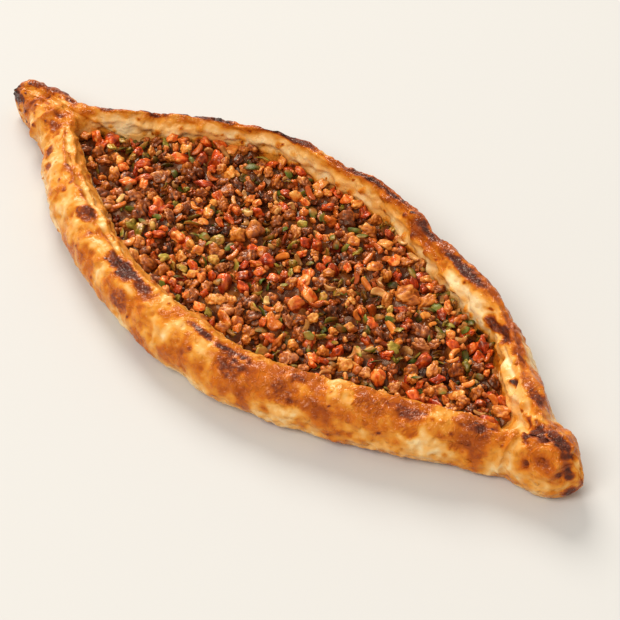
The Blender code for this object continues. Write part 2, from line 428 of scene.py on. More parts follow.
# Folds over the crust: (points in mm along the fold, half width mm, depth mm, browning).
# A negative depth makes a ridge.
SEAMS = (
    (((-147, 2, 19), (-144, -6, 22), (-146, -10, 20), (-150, -12, 15), (-152, -13, 8)), 1.5, 2.3, 0.10),
    (((146, 0, 20), (151, -9, 23), (150, -12, 20), (149, -14, 15), (149, -15, 10), (150, -15, 5)), 1.7, 2.3, 0.05),
    (((147, -6, 24), (146, -12, 21), (145, -15, 15), (145, -16, 9)), 1.1, 0.9, 0.02),
    (((153, -7, 24), (152, -12, 20), (152, -14, 15)), 1.0, -0.7, -0.08),
    (((38, 55, 23), (59, 48, 24), (80, 41, 23), (95, 36, 22), (110, 28, 22), (124, 19, 23)), 1.3, -0.9, -0.16),
    (((-138, -4, 23), (-137, -15, 20), (-139, -18, 12)), 0.9, 0.9, 0.06),
    (((-119, -13, 23), (-118, -23, 25), (-123, -27, 21), (-125, -30, 14)), 0.9, 0.9, 0.06),
    (((-114, -22, 26), (-104, -27, 26)), 0.7, 0.4, 0.14),
    (((-98, -38, 24), (-99, -43, 19), (-101, -45, 14)), 0.8, 0.5, 0.12),
    (((-80, -42, 26), (-84, -50, 20), (-86, -52, 14)), 0.9, 0.7, 0.04),
    (((-9, -54, 25), (-15, -63, 24), (-24, -67, 19)), 1.0, 0.9, -0.05),
    (((9, -61, 25), (0, -67, 20), (-10, -70, 15)), 1.0, 0.8, 0.06),
    (((46, -48, 26), (40, -57, 24), (33, -64, 18)), 1.0, 0.7, 0.04),
    (((117, -31, 19), (122, -25, 24), (124, -20, 26)), 6.5, 0.0, -0.17),
    (((143, -11, 24), (146, -13, 17)), 5.5, 0.0, -0.12),
    (((78, -44, 22), (80, -38, 26)), 5.5, 0.0, -0.10),
    (((-8, -62, 22), (-6, -57, 26)), 7.0, 0.0, -0.08),
    (((28, 57, 22), (45, 53, 22), (58, 48, 22)), 3.8, 0.0, 0.34),
    (((-100, 37, 22), (-75, 47, 22), (-50, 54, 22), (-20, 58, 22), (10, 58, 22), (38, 54, 23)), 1.3, -0.7, 0.10),
    (((-168, 2, 20), (-162, 3, 21), (-155, 3, 22), (-148, 4, 21)), 1.1, -0.8, -0.06),
    (((-169, 4, 20), (-162, 5, 21), (-154, 5, 22)), 1.0, 0.8, 0.14),
    (((-122, -10, 22), (-119, -15, 25)), 1.2, 1.6, 0.06),
    (((-107, -18, 22), (-104, -23, 25)), 1.2, 1.6, 0.06),
    (((-91, -25, 22), (-88, -30, 25)), 1.2, 1.2, 0.06),
    (((159, 1, 25), (163, -3, 25), (168, -3, 24), (171, 1, 23)), 0.8, 0.9, 0.12),
    (((170, -8, 19), (172, -5, 20), (175, 1, 19)), 0.8, 0.9, 0.10),
)
# Puffed lobes: (x, y, z, radius, rise), in mm.
PUFFS = (
    (167, -9, 22, 5.5, 1.3),
    (156, -6, 24, 3.0, 0.9),
    (176, -3, 18, 5.5, 1.1),
    (156, 1, 25, 5.5, 0.9),
    (168, 3, 25, 4.5, 0.8),
    (-165, 0, 18, 6.5, 0.9),
    (-158, 1, 19, 2.4, 1.0),
    (-138, -10, 23, 4.5, 0.6),
    (-127, -24, 20, 4.5, 0.6),
    (107, 33, 24, 4.5, 0.9),
    (129, 16, 23, 3.0, 0.9),
)


def distance_to_line(points, line):
    """Each point's distance to a line through the given places in mm."""
    line = np.array(line, dtype=float) * MM
    nearest = np.full(len(points), np.inf)
    for start, end in zip(line[:-1], line[1:]):
        run = end - start
        share = np.clip((points - start) @ run / (run @ run), 0.0, 1.0)
        nearest = np.minimum(nearest, np.linalg.norm(points - start - share[:, None] * run, axis=1))
    return nearest


def warped(points, size, amount, seed):
    """The points shifted by smooth noise, so that outlines taken from them come out ragged."""
    shifts = [gradient_noise(points, size, seed + axis) for axis in range(3)]
    return points + amount * np.stack(shifts, axis=1)


def line_noise(x, size, seed):
    return gradient_noise(np.stack([x, 0.0 * x, 0.0 * x], axis=1), size, seed)


def groove(value, at, width):
    return np.exp(-(((value - at) / width) ** 2))


def relief(points, side, place):
    """How far each point of the crust stands out from the plain form, and the browning there, with painted shade added
    on the near rim's right half and low on the right end.
    """
    x, z = points[:, 0], points[:, 2]
    open_here = smoothstep((opening(x) - 2 * MM) / (4 * MM))
    skin = smoothstep((place - 1.15) / 0.5) * (1.0 - 0.7 * smoothstep((place - FILLET) / 1.0))
    skin = skin * mix(0.15, 1.0, smoothstep((LENGTH / 2.0 - np.abs(x)) / (7 * MM)))
    near, far = (side == NEAR) * open_here, (side == FAR) * open_here
    inner = smoothstep((place - 3.45 + (0.20 + 0.24 * smoothstep((x - 0.07) / 0.03)) * far) / 0.4) * open_here
    folds = gradient_noise(warped(points, 12 * MM, 4 * MM, 50), 26 * MM, 1)
    rolls = gradient_noise(points, 13 * MM, 2)
    lumps = gradient_noise(warped(points, 5 * MM, 2 * MM, 54), 6.5 * MM, 3)
    knobs = gradient_noise(points, 3.2 * MM, 4)
    fine = gradient_noise(points, 1.5 * MM, 5)
    height = MM * (1.2 * folds + 0.90 * rolls + 0.75 * lumps + 0.42 * knobs + 0.10 * fine)
    height += 0.9 * MM * near * bump(place - 3.2, 0.5) * line_noise(x, 8 * MM, 60)
    skin_lines = gradient_noise(warped(points, 6 * MM, 3 * MM, 90) * (0.8, 1.0, 1.0), 5 * MM, 93)
    drawn = smoothstep(gradient_noise(points, 18 * MM, 94) / 0.4 + 0.4)
    height += 0.45 * MM * drawn * np.clip(1.0 - 3.2 * np.abs(skin_lines), 0.0, None)

    height += far * bump(place - 3.9, 0.9) * MM * (1.1 * gradient_noise(points, 8 * MM, 98) + 0.7 * np.abs(lumps))

    # The near lip is a thin edge folded over, with a groove behind it and a second fold on the left.
    behind_lip = place - (3.28 + 0.08 * line_noise(x, 17 * MM, 6) + 0.05 * line_noise(x, 6 * MM, 61))
    height -= near * 0.80 * MM * groove(behind_lip, 0.0, 0.07)
    height += near * 0.55 * MM * groove(behind_lip, 0.26, 0.15)
    second = near * smoothstep((-0.01 - x) / 0.04)
    behind_fold = place - (2.98 + 0.12 * line_noise(x, 23 * MM, 62) + 0.05 * line_noise(x, 7 * MM, 63))
    height -= second * 0.8 * MM * groove(behind_fold, 0.0, 0.06)
    height += second * 0.7 * MM * groove(behind_fold, 0.16, 0.12)
    # The far rim is folded too: long soft creases over its crest and down its inner face.
    for at, depth, seed in ((2.75, 0.6, 7), (3.15, 0.8, 8), (3.75, 0.6, 9)):
        drift = 0.18 * line_noise(x, 21 * MM, seed) + 0.06 * line_noise(x, 8 * MM, seed + 60)
        height -= far * depth * MM * groove(place, at + drift, 0.09)

    # Folds, and lobes that puffed up with a moat round them.
    seam_brown = 0.0 * x
    for line, width, depth, tint in SEAMS:
        share = np.exp(-((distance_to_line(points, line) / (width * MM)) ** 2))
        height -= depth * MM * share
        seam_brown += tint * share
    height += 1.3 * MM * (side == NEAR) * bump(x + 0.136, 0.012) * smoothstep((place - 1.8) / 0.8)
    height += 1.2 * MM * (side == NEAR) * bump(x - 0.139, 0.011) * smoothstep((place - 1.8) / 0.8)
    bent = warped(points, 5 * MM, 1.0 * MM, 97)
    for px, py, pz, radius, rise in PUFFS:
        away = np.linalg.norm(bent - np.array((px, py, pz)) * MM, axis=1) / (radius * MM)
        height += rise * MM * (bump(away, 1.1) - 0.40 * np.exp(-(((away - 1.05) / 0.16) ** 2)))

    # Browning: pale in the trough and low down, golden over the roll, more to the right, plus painted shade on the near
    # rim's right half and low on the right end.
    right = smoothstep((x + 0.06) / 0.13)
    crest = bump(place - 2.7, 1.0)
    mottle = gradient_noise(warped(points, 9 * MM, 4 * MM, 57), 20 * MM, 9)
    blotches = gradient_noise(warped(points, 4 * MM, 2 * MM, 64), 7.5 * MM, 10)
    freckles = gradient_noise(points, 2.6 * MM, 11)
    upper = smoothstep((z - 9 * MM) / (12 * MM))
    patchy = 0.85 * mottle + 0.60 * blotches + 0.34 * right * (crest + upper - 0.45) + 0.10 * (x < 0) * crest
    outer = 0.07 + 0.35 * smoothstep((patchy + 0.60) / 1.45) + 0.08 * freckles - 0.07 * (1.0 - upper)
    # Darker on the near rim's right half, most of all low down: painted shade on the side turned from the key light,
    # with browning.
    outer = outer + right * near * (0.03 + 0.06 * (1.0 - upper)) - 0.06 * smoothstep((x - 0.145) / 0.01)
    # The last term here darkens the right end low down, where it meets the floor: painted contact shade with browning.
    outer = outer - 0.05 * far * smoothstep((x - 0.085) / 0.02) + 0.07 * smoothstep((-0.145 - x) / 0.01) + 0.22 * smoothstep((x - 0.168) / 0.006) * (1.0 - upper)
    wall = 0.09 + 0.09 * mottle + 0.07 * blotches + 0.03 * freckles
    stained = smoothstep((place - 4.7) / 0.5) * far + smoothstep((15 * MM - z) / (3 * MM)) * inner
    wall = wall + 0.22 * np.clip(stained, 0.0, 1.0) * (0.6 + 0.8 * blotches)
    brown_and_painted_shade = mix(outer, wall, inner)
    brown_and_painted_shade = brown_and_painted_shade + 0.20 * near * groove(behind_lip, 0.03, 0.05) * (1.0 - 0.3 * right)
    brown_and_painted_shade = brown_and_painted_shade + 0.30 * near * groove(behind_lip, 0.30, 0.12)
    brown_and_painted_shade = brown_and_painted_shade + 0.14 * far * groove(place, 2.95 + 0.18 * line_noise(x, 21 * MM, 8), 0.14)
    brown_and_painted_shade = brown_and_painted_shade + 0.22 * second * groove(behind_fold, 0.0, 0.05)
    brown_and_painted_shade = brown_and_painted_shade + 0.025 * np.clip(height / MM, -1.0, 3.0) + seam_brown
    brown_and_painted_shade = np.clip(brown_and_painted_shade, 0.0, 0.50)

    # Dark blisters, ragged and wrinkled, browning towards the middle.
    ragged = warped(warped(points, 5 * MM, 1.7 * MM, 71), 2.0 * MM, 0.6 * MM, 75)
    wrinkle = np.abs(gradient_noise(points, 2.0 * MM, 14)) + 0.5 * np.abs(gradient_noise(points, 1.0 * MM, 15))
    broken = 0.20 * gradient_noise(points, 3.0 * MM, 16) + 0.14 * gradient_noise(points, 1.3 * MM, 17)
    clear_of_lip = 1.0 - 0.9 * near * smoothstep((behind_lip + 0.18 + 0.16 * right) / 0.20)
    clear_of_lip -= 0.85 * far * smoothstep((place - 3.0) / 0.35) * smoothstep((0.095 - x) / 0.01)
    for px, py, pz, radius, dark in BROWN_PATCHES:
        on_far_rim = py > 10.0 and px < 125.0
        offset = ragged - np.array((px, py + 1.2 * on_far_rim, pz)) * MM
        distance = np.linalg.norm(offset * (PATCH_LONG if on_far_rim else PATCH_ROUND), axis=1)
        share = bump(distance, radius * MM * 1.35) * clear_of_lip
        halo = smoothstep(share / 0.35)
        level = smoothstep((share + 1.2 * broken * halo - 0.12) / 0.58)
        brown_and_painted_shade = brown_and_painted_shade + (0.33 - brown_and_painted_shade).clip(0.0) * 0.65 * halo
        brown_and_painted_shade = np.maximum(brown_and_painted_shade, mix(brown_and_painted_shade, 0.49 + 0.72 * dark - 0.27 * wrinkle, level))
        height = height + share * (PATCH_SWELL * radius * MM + 0.65 * MM * (wrinkle - 0.3))
    edge = near * smoothstep((behind_lip + 0.06) / 0.10)
    brown_and_painted_shade = mix(brown_and_painted_shade, np.minimum(brown_and_painted_shade, 0.25), edge)
    return height * skin, brown_and_painted_shade


def blisters(count, radii, rise, tint, chooser, base, side, place, seed):
    """Small domes at random places where chooser allows: (height, browning) to add. A negative rise makes a pit
    instead, and its browning is painted shade in the pit.
    """
    rng = np.random.default_rng(seed)
    height, brown_and_painted_shade = np.zeros(len(base)), np.zeros(len(base))
    allowed = np.flatnonzero(chooser(base[:, 0], side, place))
    for centre in rng.choice(allowed, count):
        radius = rng.uniform(*radii) * MM
        near_by = np.abs(base[:, 0] - base[centre, 0]) < radius
        distance = np.linalg.norm(base[near_by] - base[centre], axis=1)
        share = bump(distance, radius)
        height[near_by] += share * radius * rng.uniform(*rise)
        brown_and_painted_shade[near_by] += share * rng.uniform(*tint)
    return height, brown_and_painted_shade


def make_mesh(name, vertices, faces, material, attributes=None):
    mesh = bpy.data.meshes.new(name)
    faces = np.asarray(faces, dtype=np.int32)
    sides = faces.shape[1]
    mesh.vertices.add(len(vertices))
    mesh.vertices.foreach_set("co", np.asarray(vertices, np.float32).ravel())
    mesh.loops.add(faces.size)
    mesh.loops.foreach_set("vertex_index", faces.ravel())
    mesh.polygons.add(len(faces))
    mesh.polygons.foreach_set("loop_start", np.arange(0, faces.size, sides, dtype=np.int32))
    mesh.polygons.foreach_set("loop_total", np.full(len(faces), sides, dtype=np.int32))
    mesh.update(calc_edges=True)
    mesh.validate()
    for key, values in (attributes or {}).items():
        layer = mesh.attributes.new(key, "FLOAT", "POINT")
        layer.data.foreach_set("value", np.asarray(values, np.float32))
    mesh.shade_smooth()
    mesh.materials.append(material)
    obj = bpy.data.objects.new(name, mesh)
    bpy.context.scene.collection.objects.link(obj)
    return obj


# ---------------------------------------------------------------------------------------------
# Materials
# ---------------------------------------------------------------------------------------------
def new_material(name):
    material = bpy.data.materials.new(name)
    material.use_nodes = True
    tree = material.node_tree
    return material, tree, tree.nodes["Principled BSDF"]


def add_node(tree, kind, **inputs):
    node = tree.nodes.new(kind)
    for key, value in inputs.items():
        node.inputs[key.replace("_", " ")].default_value = value
    return node


def ramp(tree, factor, stops):
    node = tree.nodes.new("ShaderNodeValToRGB")
    elements = node.color_ramp.elements
    while len(elements) < len(stops):
        elements.new(0.5)
    for element, (position, colour) in zip(elements, stops):
        element.position = position
        element.color = (*colour, 1.0)
    tree.links.new(factor, node.inputs["Fac"])
    return node.outputs["Color"]


def math_node(tree, operation, first, second):
    node = tree.nodes.new("ShaderNodeMath")
    node.operation = operation
    for socket, value in zip(node.inputs, (first, second)):
        if isinstance(value, (int, float)):
            socket.default_value = value
        else:
            tree.links.new(value, socket)
    return node.outputs["Value"]


def noise_output(tree, scale, detail, roughness=0.5):
    coordinates = tree.nodes.new("ShaderNodeTexCoord")
    node = add_node(tree, "ShaderNodeTexNoise", Scale=scale, Detail=detail, Roughness=roughness)
    tree.links.new(coordinates.outputs["Object"], node.inputs["Vector"])
    return node.outputs["Fac"]


def attribute(tree, name):
    node = tree.nodes.new("ShaderNodeAttribute")
    node.attribute_name = name
    return node.outputs["Fac"]


def add_bump(tree, shader, strength, layers):
    """Chains one Bump node for each (height, distance)."""
    normal = None
    for height, distance in layers:
        node = add_node(tree, "ShaderNodeBump", Strength=strength, Distance=distance)
        tree.links.new(height, node.inputs["Height"])
        if normal is not None:
            tree.links.new(normal, node.inputs["Normal"])
        normal = node.outputs["Normal"]
    tree.links.new(normal, shader.inputs["Normal"])


DOUGH_STOPS = (
    (0.00, (0.90, 0.68, 0.36)),
    (0.10, (0.82, 0.44, 0.130)),
    (0.22, (0.72, 0.27, 0.028)),
    (0.35, (0.56, 0.132, 0.006)),
    (0.48, (0.35, 0.064, 0.006)),
    (0.60, (0.18, 0.033, 0.010)),
    (0.72, (0.095, 0.021, 0.012)),
    (0.85, (0.060, 0.017, 0.013)),
    (1.00, (0.030, 0.013, 0.010)),
)
DOUGH_GLOSS = ((0.0, (0.32,) * 3), (0.35, (0.16,) * 3), (0.6, (0.17,) * 3), (1.0, (0.26,) * 3))


def scaled(tree, value, factor, offset=0.0):
    node = math_node(tree, "MULTIPLY_ADD", value, factor).node
    node.inputs[2].default_value = offset
    return node.outputs["Value"]


def blister_output(tree, scale, share):
    """Small domes, one in some of the cells of a random pattern."""
    coordinates = tree.nodes.new("ShaderNodeTexCoord")
    cells = add_node(tree, "ShaderNodeTexVoronoi", Scale=scale)
    tree.links.new(coordinates.outputs["Object"], cells.inputs["Vector"])
    dome = scaled(tree, cells.outputs["Distance"], -2.6, 1.0)
    cone = math_node(tree, "MAXIMUM", dome, 0.0)
    chosen = math_node(tree, "LESS_THAN", cells.outputs["Color"], share)
    rounded = math_node(tree, "MULTIPLY", cone, scaled(tree, cone, -1.0, 2.0))
    return math_node(tree, "MULTIPLY", rounded, chosen)


def wrinkle_output(tree, scale):
    """Thin winding ridges, where the skin has browned."""
    coordinates = tree.nodes.new("ShaderNodeTexCoord")
    node = add_node(tree, "ShaderNodeTexNoise", Scale=scale, Detail=1.5, Roughness=0.5, Distortion=1.0)
    tree.links.new(coordinates.outputs["Object"], node.inputs["Vector"])
    away = math_node(tree, "ABSOLUTE", scaled(tree, node.outputs["Fac"], 1.0, -0.5), 0.0)
    ridges = math_node(tree, "MAXIMUM", scaled(tree, away, -14.0, 1.0), 0.0)
    browned = math_node(tree, "MINIMUM", scaled(tree, attribute(tree, "browning_and_painted_shade"), 5.0, -0.7), 1.0)
    return math_node(tree, "MULTIPLY", ridges, math_node(tree, "MAXIMUM", browned, 0.0))


def dough_material():
    material, tree, shader = new_material("dough")
    coarse = noise_output(tree, 230.0, 2.0, 0.45)
    fine = noise_output(tree, 900.0, 3.0, 0.6)
    large_blisters, small_blisters = blister_output(tree, 250.0, 0.45), blister_output(tree, 480.0, 0.45)
    value = math_node(tree, "ADD", attribute(tree, "browning_and_painted_shade"), scaled(tree, coarse, 0.16, -0.08))
    value = math_node(tree, "ADD", value, scaled(tree, fine, 0.06, -0.03))
    value = math_node(tree, "ADD", value, scaled(tree, large_blisters, 0.05))
    tree.links.new(ramp(tree, value, DOUGH_STOPS), shader.inputs["Base Color"])
    tree.links.new(ramp(tree, value, DOUGH_GLOSS), shader.inputs["Roughness"])
    shader.inputs["IOR"].default_value = 1.33
    shader.inputs["Specular IOR Level"].default_value = 0.50
    shader.inputs["Specular Tint"].default_value = (1.0, 0.78, 0.56, 1.0)
    shader.inputs["Subsurface Weight"].default_value = 0.06
    shader.inputs["Subsurface Radius"].default_value = (1.0, 0.45, 0.18)
    shader.inputs["Subsurface Scale"].default_value = 2.0 * MM
    wide_wrinkles, close_wrinkles = wrinkle_output(tree, 150.0), wrinkle_output(tree, 330.0)
    layers = ((coarse, 0.8 * MM), (wide_wrinkles, 0.30 * MM), (close_wrinkles, 0.16 * MM), (large_blisters, 0.55 * MM), (small_blisters, 0.28 * MM))
    add_bump(tree, shader, 0.8, layers)
    return material


STAIN_STOPS = (
    (0.0, (0.050, 0.008, 0.002)),
    (0.4, (0.26, 0.045, 0.006)),
    (0.8, (0.58, 0.150, 0.020)),
    (1.0, (0.80, 0.340, 0.070)),
)


def morsel_material(name, stops, roughness, specular, grain, bump_strength, subsurface=0.0, coat=0.0):
    """A food piece whose colour runs over its own tone, which also holds painted light and shade, with mottling at the
    grain's scale.
    """
    material, tree, shader = new_material(name)
    mottle = noise_output(tree, grain, 3.0, 0.6)
    fine = noise_output(tree, grain * 3.0, 2.0, 0.6)
    spread = math_node(tree, "MULTIPLY_ADD", mottle, 0.7)
    spread.node.inputs[2].default_value = -0.35
    value = math_node(tree, "ADD", attribute(tree, "tone_and_painted_shade"), spread)
    stain = math_node(tree, "MULTIPLY", attribute(tree, "stain"), 0.75)
    sauced = tree.nodes.new("ShaderNodeMix")
    sauced.data_type = "RGBA"
    tree.links.new(stain, sauced.inputs["Factor"])
    tree.links.new(ramp(tree, value, stops), sauced.inputs["A"])
    tree.links.new(ramp(tree, value, STAIN_STOPS), sauced.inputs["B"])
    tree.links.new(sauced.outputs["Result"], shader.inputs["Base Color"])
    shader.inputs["Roughness"].default_value = roughness
    shader.inputs["Specular IOR Level"].default_value = specular
    shader.inputs["Specular Tint"].default_value = (1.0, 0.80, 0.60, 1.0)
    shader.inputs["Subsurface Weight"].default_value = subsurface
    shader.inputs["Subsurface Radius"].default_value = (1.0, 0.35, 0.15)
    shader.inputs["Subsurface Scale"].default_value = 1.2 * MM
    shader.inputs["Coat Weight"].default_value = coat
    shader.inputs["Coat Roughness"].default_value = 0.12
    add_bump(tree, shader, bump_strength, ((mottle, 0.4 * MM), (fine, 0.3 * MM)))
    return material


# ---------------------------------------------------------------------------------------------
# The crust
# ---------------------------------------------------------------------------------------------
def make_crust():
    points, side, place = crust_grid()
    rows, columns = side.shape
    normals = grid_normals(points).reshape(-1, 3)
    flat, side, place = points.reshape(-1, 3), side.ravel(), place.ravel()
    height, brown_and_painted_shade = relief(flat, side, place)

    def roll(x, which, where):
        return (where > 1.7) & (where < 3.2)

    def left_roll(x, which, where):
        return (where > 1.6) & (where < 3.1) & (x < -0.02)

    def inner_wall(x, which, where):
        return (where > 3.35) & (where < 4.8) & (opening(x) > 4 * MM)

    # Kinds with a negative rise press pits into the crust and darken them: painted shade in the pits.
    kinds = (
        (520, (0.9, 2.2), (0.22, 0.42), (-0.04, 0.12), roll, 101),
        (110, (1.8, 3.6), (0.14, 0.26), (0.04, 0.24), roll, 102),
        (70, (0.9, 1.4), (-0.6, -0.3), (0.35, 0.60), left_roll, 103),
        (50, (0.9, 1.5), (-0.3, 0.1), (0.22, 0.50), roll, 104),
        (170, (2.2, 5.0), (0.26, 0.42), (-0.04, 0.03), inner_wall, 105),
        (45, (0.9, 1.5), (-0.2, 0.2), (0.20, 0.55), inner_wall, 106),
        (64, (1.3, 2.6), (-0.60, -0.35), (0.12, 0.36), inner_wall, 107),
    )
    for count, radii, rise, tint, chooser, seed in kinds:
        more_height, more_brown_and_painted_shade = blisters(count, radii, rise, tint, chooser, flat, side, place, seed)
        height, brown_and_painted_shade = height + more_height, brown_and_painted_shade + more_brown_and_painted_shade
    moved = flat + normals * height[:, None]
    moved[:, 2] = np.maximum(moved[:, 2], 0.0)
    under = place <= 1.0
    moved[under, 2] = flat[under, 2]

    tips = np.array([[x, along(np.array([x]), MIDDLE_LINE)[0], TIP_CENTRE_HEIGHT] for x in (-0.5 * LENGTH, 0.5 * LENGTH)])
    vertices = np.concatenate([moved, tips])
    brown_and_painted_shade = np.concatenate([brown_and_painted_shade, [0.8, 0.6]])
    row, column = np.meshgrid(np.arange(rows - 1), np.arange(columns), indexing="ij")
    after = (column + 1) % columns
    quads = np.stack(
        [row * columns + column, (row + 1) * columns + column, (row + 1) * columns + after, row * columns + after],
        axis=2,
    ).reshape(-1, 4)
    ring = np.arange(columns)
    following = (ring + 1) % columns
    first, last = rows * columns, rows * columns + 1
    start_fan = np.stack([np.full(columns, first), ring, following, following], axis=1)
    end = (rows - 1) * columns
    end_fan = np.stack([np.full(columns, last), end + following, end + ring, end + ring], axis=1)
    return vertices, quads, start_fan[:, :3], end_fan[:, :3], brown_and_painted_shade


def crust_piece(material):
    vertices, quads, start_fan, end_fan, brown_and_painted_shade = make_crust()
    mesh = bpy.data.meshes.new("baked_crust")
    faces = quads.tolist() + start_fan.tolist() + end_fan.tolist()
    mesh.from_pydata(vertices.tolist(), [], faces)
    mesh.validate()
    layer = mesh.attributes.new("browning_and_painted_shade", "FLOAT", "POINT")
    layer.data.foreach_set("value", brown_and_painted_shade.astype(np.float32))
    mesh.shade_smooth()
    mesh.materials.append(material)
    obj = bpy.data.objects.new("baked_crust", mesh)
    bpy.context.scene.collection.objects.link(obj)
    return obj


# ---------------------------------------------------------------------------------------------
# The filling: shapes
# ---------------------------------------------------------------------------------------------
def ball(cells):
    """Unit ball as (vertices, triangles): a cube with cells by cells squares a side, blown round."""
    ticks = np.tan(np.linspace(-math.pi / 4.0, math.pi / 4.0, cells + 1))
    faces, corners = [], {}
    for axis, sign in itertools.product(range(3), (-1.0, 1.0)):
        grid = np.empty((cells + 1, cells + 1), dtype=int)
        for i, j in itertools.product(range(cells + 1), repeat=2):
            corner = [ticks[i], ticks[j]]
            corner.insert(axis, sign)
            grid[i, j] = corners.setdefault(tuple(np.round(corner, 9)), len(corners))
        quads = np.stack([grid[:-1, :-1], grid[1:, :-1], grid[1:, 1:], grid[:-1, 1:]], axis=2).reshape(-1, 4)
        faces.append(quads if (sign > 0.0) == (axis != 1) else quads[:, ::-1])
    quads = np.concatenate(faces)
    triangles = np.concatenate([quads[:, (0, 1, 2)], quads[:, (0, 2, 3)]])
    vertices = np.array(list(corners))
    return vertices / np.linalg.norm(vertices, axis=1, keepdims=True), triangles


BALL, SMALL_BALL, TINY_BALL = ball(8), ball(7), ball(3)


def crumb_shape(seed):
    """A crumb of mince: rounded knobs with sharp clefts between them."""
    vertices, triangles = BALL
    big = gradient_noise(vertices, 1.1, seed)
    knobs = np.abs(gradient_noise(vertices, 0.75, seed + 1))
    small = np.abs(gradient_noise(vertices, 0.36, seed + 2))
    radius = 0.72 + 0.42 * big + 0.50 * knobs + 0.20 * small
    # Tone is lower in the clefts and higher on the knobs: painted shade in the clefts and painted light on the knobs.
    shape_tone_and_painted_shade = 0.65 * (knobs - 0.3) + 0.7 * (small - 0.25)
    return vertices * radius[:, None], triangles, shape_tone_and_painted_shade


def dice_shape(seed):
    """A knife-cut dice: a ball pushed out towards a cube, uneven, with soft wrinkles and a cleft."""
    vertices, triangles = SMALL_BALL
    rng = np.random.default_rng(seed)
    squareness = rng.uniform(2.6, 5.0)
    radius = 1.0 / (np.abs(vertices) ** squareness).sum(axis=1) ** (1.0 / squareness)
    wrinkles = np.abs(gradient_noise(vertices, 0.55, seed + 3)) + 0.5 * np.abs(gradient_noise(vertices, 0.3, seed + 4))
    uneven = gradient_noise(vertices, 0.9, seed)
    radius = radius * (0.86 + 0.34 * uneven + 0.20 * wrinkles)
    shear = np.eye(3) + rng.uniform(-0.4, 0.4, (3, 3)) * (1.0 - np.eye(3))
    # Tone varies at random and rises on the raised wrinkles: partly random tone, partly painted light on the wrinkles.
    shape_tone_and_painted_shade = 0.45 * gradient_noise(vertices, 0.7, seed + 7) + 0.6 * (wrinkles - 0.35)
    return (0.86 * vertices * radius[:, None]) @ shear, triangles, shape_tone_and_painted_shade


def strip_shape(seed):
    """A curved strip of onion or pepper."""
    vertices, triangles = SMALL_BALL
    rng = np.random.default_rng(seed)
    radius = 1.0 / (np.abs(vertices) ** 3.5).sum(axis=1) ** (1.0 / 3.5)
    shaped = vertices * radius[:, None] * (1.0, 0.42, 0.28)
    shaped[:, 2] += rng.uniform(0.2, 0.5) * (shaped[:, 0] ** 2 - 0.4)
    shaped[:, 1] += rng.uniform(-0.3, 0.3) * shaped[:, 0] ** 2
    shape_tone_and_painted_shade = 0.2 * gradient_noise(vertices, 0.6, seed + 7)
    return shaped * (1.0 + 0.08 * gradient_noise(vertices, 0.5, seed))[:, None], triangles, shape_tone_and_painted_shade


def leaf_shape(seed):
    """A shred of parsley: thin, lobed and curled."""
    vertices, triangles = TINY_BALL
    rng = np.random.default_rng(seed)
    lobes = 1.0 + 0.45 * gradient_noise(vertices, 0.5, seed)
    shaped = vertices * (1.0, 0.55, 0.10) * lobes[:, None]
    shaped[:, 2] += rng.uniform(-0.5, 0.6) * shaped[:, 0] ** 2 + rng.uniform(-0.6, 0.6) * shaped[:, 1] ** 2
    return shaped, triangles, 0.2 * gradient_noise(vertices, 0.6, seed + 7)


def bit_shape(seed):
    """A small broken bit of mince or vegetable."""
    vertices, triangles = TINY_BALL
    uneven = gradient_noise(vertices, 0.8, seed)
    # Tone follows the same noise as the radius, lighter where the bit bulges and darker where it dips: painted light
    # and shade.
    return vertices * (0.85 + 0.5 * uneven)[:, None], triangles, 0.3 * uneven


def rotation(rng, flatness):
    """A random rotation, mostly about Z when flatness is near 1."""
    turn = rng.uniform(0.0, 2.0 * math.pi)
    tilt = (1.0 - flatness) * rng.uniform(0.0, math.pi)
    lean = rng.uniform(0.0, 2.0 * math.pi)
    about_z = np.array([[math.cos(turn), -math.sin(turn), 0], [math.sin(turn), math.cos(turn), 0], [0, 0, 1]])
    axis = np.array([math.cos(lean), math.sin(lean), 0.0])
    cross = np.array([[0, 0, axis[1]], [0, 0, -axis[0]], [-axis[1], axis[0], 0]])
    tilted = np.eye(3) + math.sin(tilt) * cross + (1.0 - math.cos(tilt)) * cross @ cross
    return tilted @ about_z


# kind: (share of the pieces, shape, variants, half size in mm from and to, flatness, squash)
KINDS = {
    "mince_brown": (0.200, crumb_shape, 14, (2.6, 5.4), 0.0, 0.85),
    "mince_dark": (0.165, crumb_shape, 12, (2.4, 5.0), 0.0, 0.85),
    "mince_tan": (0.095, crumb_shape, 12, (2.2, 4.6), 0.0, 0.85),
    "tomato_dice": (0.200, dice_shape, 14, (1.9, 4.2), 0.0, 0.9),
    "pepper_dice": (0.080, dice_shape, 10, (1.6, 3.2), 0.0, 0.8),
    "onion_strips": (0.045, strip_shape, 8, (2.0, 3.8), 0.3, 1.0),
    "tomato_shreds": (0.045, strip_shape, 8, (2.2, 4.0), 0.5, 1.0),
    "green_pepper": (0.062, dice_shape, 8, (1.4, 2.9), 0.3, 0.7),
    "parsley": (0.150, leaf_shape, 10, (1.6, 3.4), 0.5, 1.0),
    "crumbs": (0.350, bit_shape, 12, (0.8, 1.7), 0.0, 0.9),
}
PIECES = 2600
CORE_TOP = 9.5 * MM
SAUCE_BELOW = 2.1 * MM
GRID = 0.8 * MM
TOP_LIMIT = 17.8 * MM
CANDIDATES = 4


